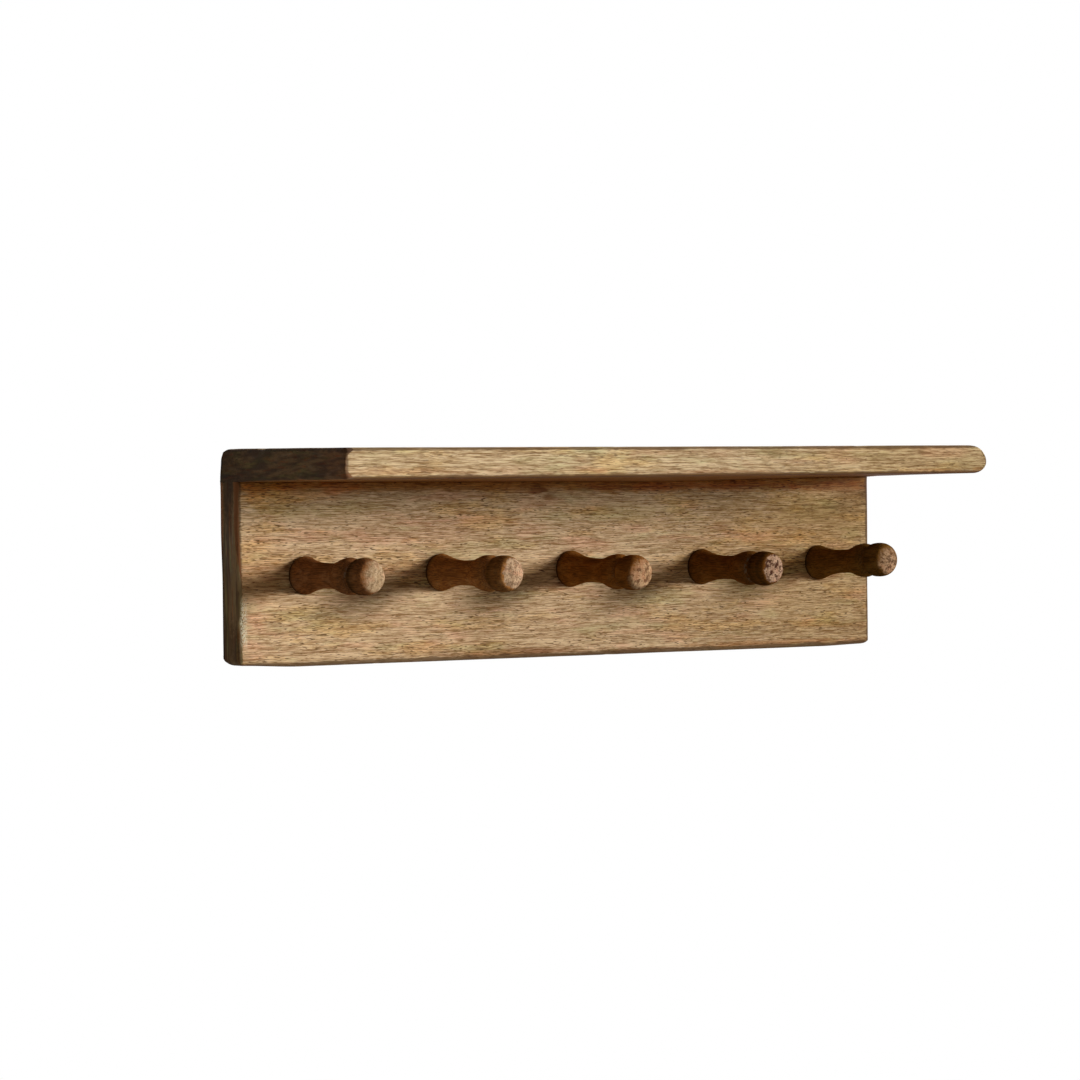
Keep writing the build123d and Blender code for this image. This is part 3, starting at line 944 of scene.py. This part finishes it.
def worn_board(sizes):
    """The back board: rounded edges, a wavy left arris, hand-planed hollows and the CAD's holes"""
    points, quads, box = plank_mesh("back_board", sizes)
    low, high = box
    x, _, z = points.T
    end, seat, back = sizes.end_round, sizes.seat_round, sizes.back_round
    height = share_across(points, box, Z)
    wave = ripple(points, (45, FOREVER, 17), 3.1)
    front = sizes.front_round * (1 + FRONT_WAVE * ripple(points, (60, FOREVER, FOREVER), 8.2))
    wall = sizes.wall_round * (1 + WALL_WAVE * ripple(points, (90, FOREVER, FOREVER), 5.7))
    worn = end * (1 + 0.25 * wave + 0.8 * (1 - smooth(height, 0.1, 0.75)))
    ease_edges(
        points, box,
        ((Y, LOW, front), (Z, LOW, front)),
        ((Y, HIGH, wall), (Z, LOW, wall)),
        ((Y, LOW, seat), (Z, HIGH, seat)),
        ((Y, HIGH, seat), (Z, HIGH, seat)),
        ((X, LOW, worn), (Y, LOW, end * 0.9)),
        ((X, LOW, end * 1.6), (Z, LOW, end * 1.6)),
        ((X, HIGH, end * 0.7), (Y, LOW, end * 0.7)),
        ((X, HIGH, end * 1.9), (Z, LOW, end * 1.8)),
        ((X, LOW, back), (Y, HIGH, back)),
        ((X, LOW, seat * 0.4), (Z, HIGH, seat * 0.4)),
        ((X, HIGH, back), (Y, HIGH, back)),
        ((X, HIGH, seat * 0.4), (Z, HIGH, seat * 0.4)),
    )
    near_left = 1 - smooth(x, low.x, low.x + BOARD_LEFT_WEAR)
    near_right = smooth(x, high.x - BOARD_RIGHT_WEAR, high.x)
    rise = sizes.corner_wear * near_left + sizes.far_corner_wear * near_right - sizes.sag
    z += rise * (1 - smooth(height, 0.0, 0.5))
    x -= sizes.lean * near_left * smooth(height, 0.4, 0.8)
    x += sizes.far_lean * near_right * smooth(height, 0.25, 0.8)
    hollow = 0.5 + 0.5 * ripple(points, (70, 30, 26), 1.3)
    below_joint = smooth(high.z - z, 0.0, 4 * MM)
    mesh, points = planed("back_board", points, quads, sizes.hollow * hollow * below_joint, BOARD_NICKS)

    from_end, from_front, _ = from_faces(points, box)
    x, y, z = points.T / MM
    left, lower = x < CENTRE.x / MM, smooth(z, *CUT_LEVELS)
    cut, rub = np.where(left, 7.5 * lower - 4.5, -1.0), np.where(left, 2.1 * lower + 0.9, 0.3)
    paint_edges(mesh, (from_end, from_front, z - low.z / MM), BOARD_EDGE, cut, rub)
    scuffed = smooth(z, *SCUFF_TOP) * smooth(z, *SCUFF_BOTTOM)
    scuffed *= smooth(from_end, 1.5, 3) * (1 - smooth(from_end, 5.5, 7.5))
    front_half = 1 - smooth(y - low.y / MM, 3, 6)
    paint(mesh, "fray", scuffed * left * front_half)
    # Painted shade on the board's top, below the shelf
    paint(mesh, "under_shelf_shade", smooth(z, *SHADE_UNDER_SHELF_LEVELS) * front_half)
    x, _, z = points.T
    above_hangers = smooth(z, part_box(PLATE_NODES[0])[HIGH].z + 1 * MM, SEAT_LEVEL)
    z += seat_lift(x, sizes) * above_hangers
    write_points(mesh, points)
    return mesh


def turn_corner(points, box, radius, nose):
    """Rounds the upright edge at the front of the worn right end, whose outline it leaves as it is"""
    x, y, _ = points.T
    share = np.clip(1 - (y - box[LOW].y) / radius, 0.0, 1.0)
    inset = radius * (1 - np.sqrt(1 - share * share))
    x -= inset * smooth(x, box[HIGH].x - 2.4 * nose, box[HIGH].x - nose)


def worn_shelf(sizes):
    """The shelf: its right end worn to a nose, and its front edge a little twisted"""
    points, quads, box = plank_mesh("shelf", sizes)
    low, high = box
    x, y, z = points.T
    end, seat, back = sizes.end_round, sizes.seat_round, sizes.back_round
    front = sizes.front_round * (1 + FRONT_WAVE * ripple(points, (55, FOREVER, FOREVER), 2.6))
    wall = 1 + WALL_WAVE * ripple(points, (90, FOREVER, FOREVER), 6.3)
    under = front * sizes.under_round / sizes.front_round
    ease_edges(
        points, box,
        ((Y, LOW, under), (Z, LOW, under)),
        ((Y, LOW, front), (Z, HIGH, front)),
        ((Y, HIGH, sizes.wall_round * wall), (Z, HIGH, sizes.wall_drop * wall)),
        ((Y, HIGH, seat), (Z, LOW, seat)),
    )
    small = end * (1 + 0.2 * ripple(points, (FOREVER, 22, 9), 7.9))
    middle = (low.z + high.z) / 2
    half = high.z - middle
    flared = end * (0.4 + 1.9 * smooth(np.abs(z - middle) / half, 0.25, 1.0))
    ease_edges(points, box, ((X, LOW, flared * 0.7), (Y, LOW, flared)))
    past_board = smooth(BOARD_FRONT - y, 2 * MM, 30 * MM)
    bottom = seat * 0.4 + small * past_board
    ease_edges(
        points, box,
        ((X, LOW, bottom * 1.2), (Z, LOW, bottom)),
        ((X, LOW, small * 0.8), (Z, HIGH, small)),
        ((X, LOW, back), (Y, HIGH, back)),
    )
    nose = 1 + 0.04 * ripple(points, (FOREVER, 35, FOREVER), 9.4)
    toe_length, toe_rise = (seat * 0.5 + reach * past_board for reach in (sizes.toe_length, sizes.toe_rise))
    ease_edges(
        points, box,
        ((X, HIGH, sizes.nose_length * nose), (Z, HIGH, sizes.nose_drop * nose)),
        ((X, HIGH, toe_length), (Z, LOW, toe_rise)),
        ((X, HIGH, back), (Y, HIGH, back)),
    )
    turn_corner(points, box, small * 0.8, sizes.nose_length)
    near_left = 1 - smooth(x, low.x, low.x + SHELF_LEFT_WEAR)
    near_joint = 1 - smooth(z, SEAT_LEVEL + 3 * MM, SEAT_LEVEL + 17 * MM)
    x -= sizes.shelf_lean * near_left * near_joint
    hollow = 0.5 + 0.5 * ripple(points, (80, 36, 20), 6.6)
    joint = (z < SEAT_LEVEL + 1 * MM) & (y > BOARD_FRONT - 2 * MM)
    mesh, points = planed("shelf", points, quads, sizes.hollow * hollow * ~joint, SHELF_NICKS)

    x, y, z = points.T
    distances = from_faces(points, box)
    corner = smooth(1 - distances[Z] * MM / half, 0.3, 1.0) * (1 - smooth(distances[Y], 2, 12))
    cut = 0.4 + 6.6 * corner * (x < CENTRE.x)
    paint_edges(mesh, distances, SHELF_EDGE, cut, cut)
    paint(mesh, "fray", np.zeros(len(points)))
    # Painted shade on the shelf's underside
    paint(mesh, "under_shelf_shade", 2 * (1 - smooth(z - low.z, 0.4 * MM, 2.2 * MM)))
    upper, along = share_across(points, box, Z), share_across(points, box, X)
    out = np.clip((BOARD_FRONT - y) / (BOARD_FRONT - low.y), 0.0, 1.0)
    joint_lift = seat_lift(x, sizes)
    front_lift = sizes.lift_left + (sizes.lift_right - sizes.lift_left) * along
    z += joint_lift + (front_lift - joint_lift) * out
    z += sizes.back_rise * (1 - out) * (1 - smooth(along, 0.0, 0.5)) * smooth(upper, 0.3, 0.7)
    write_points(mesh, points)
    return mesh


# ---- Pegs -----------------------------------------------------------------------
# The look of each peg, left to right. Its bare tip: where it begins, in millimetres from the board, how much
# further back it begins on the right and above, how softly, how mottled and speckled, and its colours. Then
# how far the tip's rim is worn and how much deeper the groove is cut, in millimetres, how much dust and
# painted sheen the groove gets, how much grime and painted shade the head and its rim get, and the tone of
# the whole peg.
PEG_LOOKS = (
    {"tip": {"From": 84.5, "Slope": 0.24, "Rise": 0.0, "Soft": 1.9, "Mottling": 0.6, "Specks": 0.5,
             "Pale": (0.5, 0.355, 0.21), "Dark": (0.16, 0.095, 0.048)},
     "worn": 1.8, "groove": 2.3, "dust_and_sheen": 1.0, "grime_and_shade": 1.1, "rim": 0.0, "tone": (1.33, 1.6, 2.6)},
    {"tip": {"From": 84.4, "Slope": 0.16, "Rise": 0.03, "Soft": 0.4, "Mottling": 0.5, "Specks": 0.65,
             "Pale": (0.53, 0.36, 0.22), "Dark": (0.12, 0.062, 0.035)},
     "worn": 0.6, "groove": 1.2, "dust_and_sheen": 0.2, "grime_and_shade": 1.0, "rim": 0.8, "tone": (1.92, 2.45, 3.4)},
    {"tip": {"From": 83.3, "Slope": 0.14, "Rise": -0.2, "Soft": 2.2, "Mottling": 0.8, "Specks": 0.65,
             "Pale": (0.5, 0.315, 0.17), "Dark": (0.12, 0.05, 0.025)},
     "worn": 1.5, "groove": 1.2, "dust_and_sheen": 0.15, "grime_and_shade": 0.5, "rim": 0.1, "tone": (1.42, 1.56, 1.4)},
    {"tip": {"From": 84.6, "Slope": 0.13, "Rise": 0.0, "Soft": 0.45, "Mottling": 1.0, "Specks": 0.75,
             "Pale": (0.52, 0.335, 0.22), "Dark": (0.075, 0.032, 0.02)},
     "worn": 0.5, "groove": 1.3, "dust_and_sheen": 0.9, "grime_and_shade": 1.0, "rim": 0.9, "tone": (1.0, 1.15, 1.1)},
    {"tip": {"From": 85.3, "Slope": 0.05, "Rise": -0.1, "Soft": 1.4, "Mottling": 0.8, "Specks": 0.75,
             "Pale": (0.52, 0.33, 0.19), "Dark": (0.09, 0.045, 0.025)},
     "worn": 1.3, "groove": 1.4, "dust_and_sheen": 0.2, "grime_and_shade": 0.8, "rim": 0.4, "tone": (1.04, 1.38, 1.25)},
)
# Levels along a peg from the board's face, with how far each form reaches to both sides
GROOVE_AT, GROOVE_HALF, DUST_AND_SHEEN_HALF = 65.6 * MM, 3.0 * MM, 1.1 * MM
HEAD_AT, HEAD_HALF = 73 * MM, 6 * MM
RIM_AT, RIM_HALF, RIM_FROM, RIM_TO = 81 * MM, 2.5 * MM, 78 * MM, 82 * MM
FOOT_HALF, FOOT_END, FOOT_INSET = 2.4 * MM, 1.4 * MM, 0.3 * MM
TENON_RADIUS, TENON_EDGE, TENON_SHARE = 7.0 * MM, 0.6 * MM, 0.7
# From where to where a peg becomes out of round along it, and where its flats set in off its axis
STRAY_LEVELS, FLAT_RADII = (0.5 * MM, 4 * MM), (1 * MM, 8 * MM)
# How far the oval is turned, and the noise of the flats shifted, from one peg to the next
OVAL_TURN, FLATS_SHIFT = 1.7, 3.3


def peg_place(node):
    """A CAD peg's own frame: origin where its axis meets the board's face, +Z along the peg"""
    points = read_rows(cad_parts[node].data.vertices, "co")
    back = points[points[:, Y] > points[:, Y].max() - 1.0 * MM]
    root = (back.min(0) + back.max(0)) / 2
    crown = points[np.argmax(np.linalg.norm(points - root, axis=1))]
    axis = Vector(crown - root).normalized()
    origin = Vector(root) + axis * ((BOARD_FRONT - root[Y]) / axis.y)
    side = (Vector((1, 0, 0)) - axis * axis.x).normalized()
    turn = Matrix((side, axis.cross(side), axis)).transposed()
    return Matrix.Translation(origin) @ turn.to_4x4()


def bump(reach, level, half):
    """1 at a level along a peg, falling to 0 about twice half away from it"""
    return np.exp(-((reach - level) / half) ** 2)


def peg_outline(node, place, gap, look):
    """Reach and radius along a CAD peg's outline, evenly spaced, with the rim worn round and
    the groove cut deeper"""
    points = read_rows(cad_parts[node].data.vertices, "co")
    local = np.array([place.inverted() @ Vector(point) for point in points])
    reach, radius = local[:, Z], np.hypot(local[:, X], local[:, Y])
    order = np.argsort(reach)
    order = order[reach[order] > FOOT_END]
    reach, radius = reach[order], radius[order]
    along = np.concatenate(([0.0], np.cumsum(np.hypot(np.diff(reach), np.diff(radius)))))
    count = int(along[-1] / gap)
    even = np.linspace(0.0, along[-1], count)
    reach, radius = np.interp(even, along, reach), np.interp(even, along, radius)
    radius -= look["groove"] * MM * bump(reach, GROOVE_AT, GROOVE_HALF)
    width = max(1, round(look["worn"] * MM / (along[-1] / count)))
    kernel = np.hanning(2 * width + 3)
    kernel /= kernel.sum()
    rim = smooth(reach, RIM_FROM, RIM_TO)
    pad = len(kernel) // 2
    for values, mirror in ((reach, 1.0), (radius, -1.0)):
        after = mirror * values[-2:-pad - 2:-1]
        longer = np.concatenate((np.full(pad, values[0]), values, after))
        values += (np.convolve(longer, kernel, "valid") - values) * rim
    radius[-1] = 0.0
    return reach, radius


def turned_peg(node, number, sizes, look):
    """One peg with its tenon, a little out of round, in its own frame"""
    place = peg_place(node)
    reach, radius = peg_outline(node, place, sizes.ring_gap, look)
    tenon = (BOARD[HIGH].y - BOARD_FRONT) * TENON_SHARE
    normal = place.to_3x3().transposed() @ Vector((0, 1, 0))

    def foot(x, y):
        """Where a line along the peg meets the board, a little inside its face"""
        return (sizes.seat - x * normal.x - y * normal.y) / normal.z

    rings = [(TENON_RADIUS - TENON_EDGE, -tenon), (TENON_RADIUS, -tenon + TENON_EDGE)]
    rings += [(TENON_RADIUS, None), (radius[0] - FOOT_INSET, None), *zip(radius[:-1], reach[:-1])]
    points = [(0.0, 0.0, -tenon)]
    for ring, level in rings:
        points += [(x, y, foot(x, y) if level is None else level) for x, y in circle(ring, sizes.around)]
    points.append((0.0, 0.0, reach[-1]))
    points = np.array(points)
    faces = ring_faces(len(rings), sizes.around)
    crown = len(points) - 1
    last = crown - sizes.around
    faces += [(last + i, last + (i + 1) % sizes.around, crown) for i in range(sizes.around)]

    turning = np.arctan2(points[:, Y], points[:, X])
    shape = 1 + sizes.oval * np.cos(2 * turning + number * OVAL_TURN)
    flats = ripple(points, (9, 9, 16), number * FLATS_SHIFT) * sizes.dents
    away = np.hypot(points[:, X], points[:, Y])
    free = smooth(points[:, Z], *STRAY_LEVELS)
    grown = away * (1 + (shape - 1) * free) + flats * free * smooth(away, *FLAT_RADII)
    points[:, :2] *= (grown / np.maximum(away, TINY))[:, None]
    mesh = new_mesh(node, points, faces)
    level = points[:, Z]
    # Grime and painted shade on the head, its rim and a contact ring at the foot
    head, rim = look["grime_and_shade"] * bump(level, HEAD_AT, HEAD_HALF), look["rim"] * bump(level, RIM_AT, RIM_HALF)
    paint(mesh, "grime_and_shade", np.maximum.reduce((head, rim, 1.5 * bump(level, 0.0, FOOT_HALF))))
    # Dust and a painted sheen in the groove
    paint(mesh, "dust_and_sheen", bump(level, GROOVE_AT, DUST_AND_SHEEN_HALF))
    return mesh, place


# ---- Operators ------------------------------------------------------------------
class PEGRAIL_OT_back_board(bpy.types.Operator):
    """Makes the worn back board"""

    bl_idname = "peg_rail.back_board"
    bl_label = "Back board"

    def execute(self, context):
        settings = context.scene.peg_rail
        marks, front = BOARD_MARKS + foot_marks(), BOARD_FRONT / MM
        matte = plank_material(BOARD_LOOK, settings.plank_colours, marks, front)
        add_piece("worn_back_board", worn_board(settings.planks), matte, ["back_board"])
        return {"FINISHED"}


class PEGRAIL_OT_shelf(bpy.types.Operator):
    """Makes the worn shelf"""

    bl_idname = "peg_rail.shelf"
    bl_label = "Shelf"

    def execute(self, context):
        settings = context.scene.peg_rail
        matte = plank_material(SHELF_LOOK, settings.plank_colours, SHELF_MARKS, SHELF[LOW].y / MM)
        add_piece("worn_shelf", worn_shelf(settings.planks), matte, ["shelf"])
        return {"FINISHED"}


class PEGRAIL_OT_pegs(bpy.types.Operator):
    """Makes the turned pegs"""

    bl_idname = "peg_rail.pegs"
    bl_label = "Pegs"

    def execute(self, context):
        settings = context.scene.peg_rail
        for number, (node, look) in enumerate(zip(PEG_NODES, PEG_LOOKS), start=1):
            mesh, place = turned_peg(node, number, settings.pegs, look)
            matte = peg_material(f"{node}_wood", settings.peg_colours, look, number)
            piece = add_piece(f"turned_{node}", mesh, matte, [node])
            piece.matrix_world = place
            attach(piece, "root")
        return {"FINISHED"}


class PEGRAIL_OT_dowels(bpy.types.Operator):
    """Finishes the dowels between the planks"""

    bl_idname = "peg_rail.dowels"
    bl_label = "Dowels"

    def execute(self, context):
        colours = context.scene.peg_rail.peg_colours
        beech = plain_material(
            "dowel_beech", turned_wood(), 0.05, (0.4, 0.1, 0.2), Body=colours.dowel,
            Deep=colours.dowel_deep, Glow=colours.dowel,
        )
        finish_node("shelf_dowels", beech)
        return {"FINISHED"}


class PEGRAIL_OT_hangers(bpy.types.Operator):
    """Finishes the keyhole plates and their screws"""

    bl_idname = "peg_rail.hangers"
    bl_label = "Hangers"

    def execute(self, context):
        metals = context.scene.peg_rail.metals
        zinc, yellow = (
            plain_material(name, drawn_metal(), 0.01, metallic=1.0, Bright=bright, Dull=dull)
            for name, bright, dull in (
                ("hanger_zinc", metals.zinc, metals.zinc_dull),
                ("screw_zinc", metals.brass, metals.brass_dull),
            )
        )
        for node in PLATE_NODES:
            finish_node(node, zinc)
        finish_node("hanger_screws", yellow)
        return {"FINISHED"}


class PEGRAIL_OT_stage(bpy.types.Operator):
    """Sets up the camera, the lamps, the floor and the surroundings"""

    bl_idname = "peg_rail.stage"
    bl_label = "Stage"

    def execute(self, context):
        stage = context.scene.peg_rail.stage
        add_camera(context, stage)
        add_key_lamp(context, stage)
        add_surroundings(context, stage)
        add_floor(context, stage)
        context.scene.view_settings.view_transform = "Standard"
        return {"FINISHED"}


def heading(turn, rise):
    """The direction turned to the right of +Y and raised by two angles"""
    return Vector((math.sin(turn) * math.cos(rise), math.cos(turn) * math.cos(rise), math.sin(rise)))


def add_camera(context, stage):
    forward, level = heading(stage.yaw, stage.pitch), heading(stage.yaw + math.pi / 2, 0.0)
    upright = level.cross(forward)
    right = level * math.cos(stage.roll) + upright * math.sin(stage.roll)
    up = upright * math.cos(stage.roll) - level * math.sin(stage.roll)
    data = bpy.data.cameras.new("camera")
    data.lens, data.sensor_width = stage.lens, stage.sensor
    camera = bpy.data.objects.new("camera", data)
    turn = Matrix((right, up, -forward)).transposed()
    camera.matrix_world = Matrix.Translation(stage.camera) @ turn.to_4x4()
    context.scene.collection.objects.link(camera)
    context.scene.camera = camera


def add_key_lamp(context, stage):
    """One large soft lamp at the front right, aimed past the rail's left end"""
    away = heading(math.pi - stage.key_turn, stage.key_rise)
    data = bpy.data.lights.new("key_lamp", "AREA")
    data.shape = "RECTANGLE"
    data.size, data.size_y = stage.key_width, stage.key_height
    data.energy, data.spread = stage.key_power, stage.key_spread
    lamp = bpy.data.objects.new("key_lamp", data)
    lamp.location = CENTRE + away * stage.key_distance
    aim = Vector((BOARD[LOW].x - stage.key_aim, BOARD_FRONT, CENTRE.z))
    lamp.rotation_euler = (lamp.location - aim).to_track_quat("Z", "Y").to_euler()
    context.scene.collection.objects.link(lamp)


def add_surroundings(context, stage):
    """Soft light from all round, brighter from above, in front of plain white"""
    world = bpy.data.worlds.new("surroundings")
    world.use_nodes = True
    world.node_tree.nodes.clear()
    tree = Tree(world.node_tree)
    seen, _ = tree.rays()
    height = tree.axes(tree.node("ShaderNodeTexCoord").outputs["Generated"])["Z"]
    soft = tree.ramp(height, -0.5, 0.7, high=stage.fill_up, low=stage.fill_down)
    light = tree.node("ShaderNodeBackground", {
        "Color": tree.mix(seen, stage.fill, WHITE), "Strength": tree.mix_values(seen, soft, 1.0),
    })
    tree.node("ShaderNodeOutputWorld", {"Surface": light.outputs[0]})
    context.scene.world = world


def add_floor(context, stage, rings=24, around=64, crowding=1.6):
    """A pale round floor that fades into the white behind, open from below"""
    level = BOARD[LOW].z - stage.floor_drop
    points = [(0.0, 0.0, level)]
    for ring in range(1, rings + 1):
        radius = stage.floor_reach * (ring / rings) ** crowding
        points += [(x, y, level) for x, y in circle(radius, around)]
    faces = [(face[0], *face[:0:-1]) for face in ring_faces(rings, around)]
    floor = bpy.data.objects.new("floor", new_mesh("floor", points, faces))
    context.scene.collection.objects.link(floor)

    made, tree = material("floor_paper")
    seen, soft = tree.rays()
    place = tree.node("ShaderNodeTexCoord").outputs["Object"]
    flat = tree.vector("LENGTH", tree.vector("MULTIPLY", place, (1.0, 1.0, 0.0)))
    fade = tree.product(tree.ramp(flat, stage.fade_from, stage.fade_to), seen)
    share = tree.math("MULTIPLY_ADD", soft, stage.bounce - 1.0, 1.0)
    paper = tree.node("ShaderNodeBsdfDiffuse", {"Color": tree.mix(share, BLACK, stage.floor)})
    lift = tree.product(seen, stage.floor_glow)
    glow, white = (
        tree.node("ShaderNodeEmission", {"Color": WHITE, "Strength": strength}) for strength in (lift, 1.0)
    )
    lifted = tree.node("ShaderNodeAddShader", (paper.outputs[0], glow.outputs[0]))
    faded = tree.node("ShaderNodeMixShader", (fade, lifted.outputs[0], white.outputs[0]))
    below = tree.node("ShaderNodeNewGeometry").outputs["Backfacing"]
    clear = tree.node("ShaderNodeBsdfTransparent")
    open_below = tree.node("ShaderNodeMixShader", (below, faded.outputs[0], clear.outputs[0]))
    tree.feed(tree.output, open_below.outputs[0])
    floor.data.materials.append(made)


# ---- Panel and registration -----------------------------------------------------
OPERATORS = (
    PEGRAIL_OT_back_board,
    PEGRAIL_OT_shelf,
    PEGRAIL_OT_pegs,
    PEGRAIL_OT_dowels,
    PEGRAIL_OT_hangers,
    PEGRAIL_OT_stage,
)


class PEGRAIL_PT_panel(bpy.types.Panel):
    """Lists the pieces of the peg rail and their settings"""

    bl_idname = "PEGRAIL_PT_panel"
    bl_label = "Peg rail with shelf"
    bl_space_type = "VIEW_3D"
    bl_region_type = "UI"
    bl_category = "Peg rail"

    def draw(self, context):
        for operator in OPERATORS:
            self.layout.operator(operator.bl_idname)
        settings = context.scene.peg_rail
        for name in settings.bl_rna.properties.keys():
            group = getattr(settings, name)
            if isinstance(group, bpy.types.PropertyGroup):
                box = self.layout.box()
                for setting in group.bl_rna.properties.keys():
                    if setting not in ("rna_type", "name"):
                        box.prop(group, setting)


CLASSES = (
    PegRailPlanks,
    PegRailPegs,
    PegRailPlankColours,
    PegRailPegColours,
    PegRailMetals,
    PegRailStage,
    PegRailSettings,
    *OPERATORS,
    PEGRAIL_PT_panel,
)


def register():
    for item in CLASSES:
        bpy.utils.register_class(item)
    bpy.types.Scene.peg_rail = PointerProperty(type=PegRailSettings)


def unregister():
    del bpy.types.Scene.peg_rail
    for item in reversed(CLASSES):
        bpy.utils.unregister_class(item)


def main():
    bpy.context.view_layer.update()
    register()
    bpy.ops.peg_rail.stage()
    bpy.ops.peg_rail.back_board()
    bpy.ops.peg_rail.shelf()
    bpy.ops.peg_rail.pegs()
    bpy.ops.peg_rail.dowels()
    bpy.ops.peg_rail.hangers()


if __name__ == "__main__":
    main()
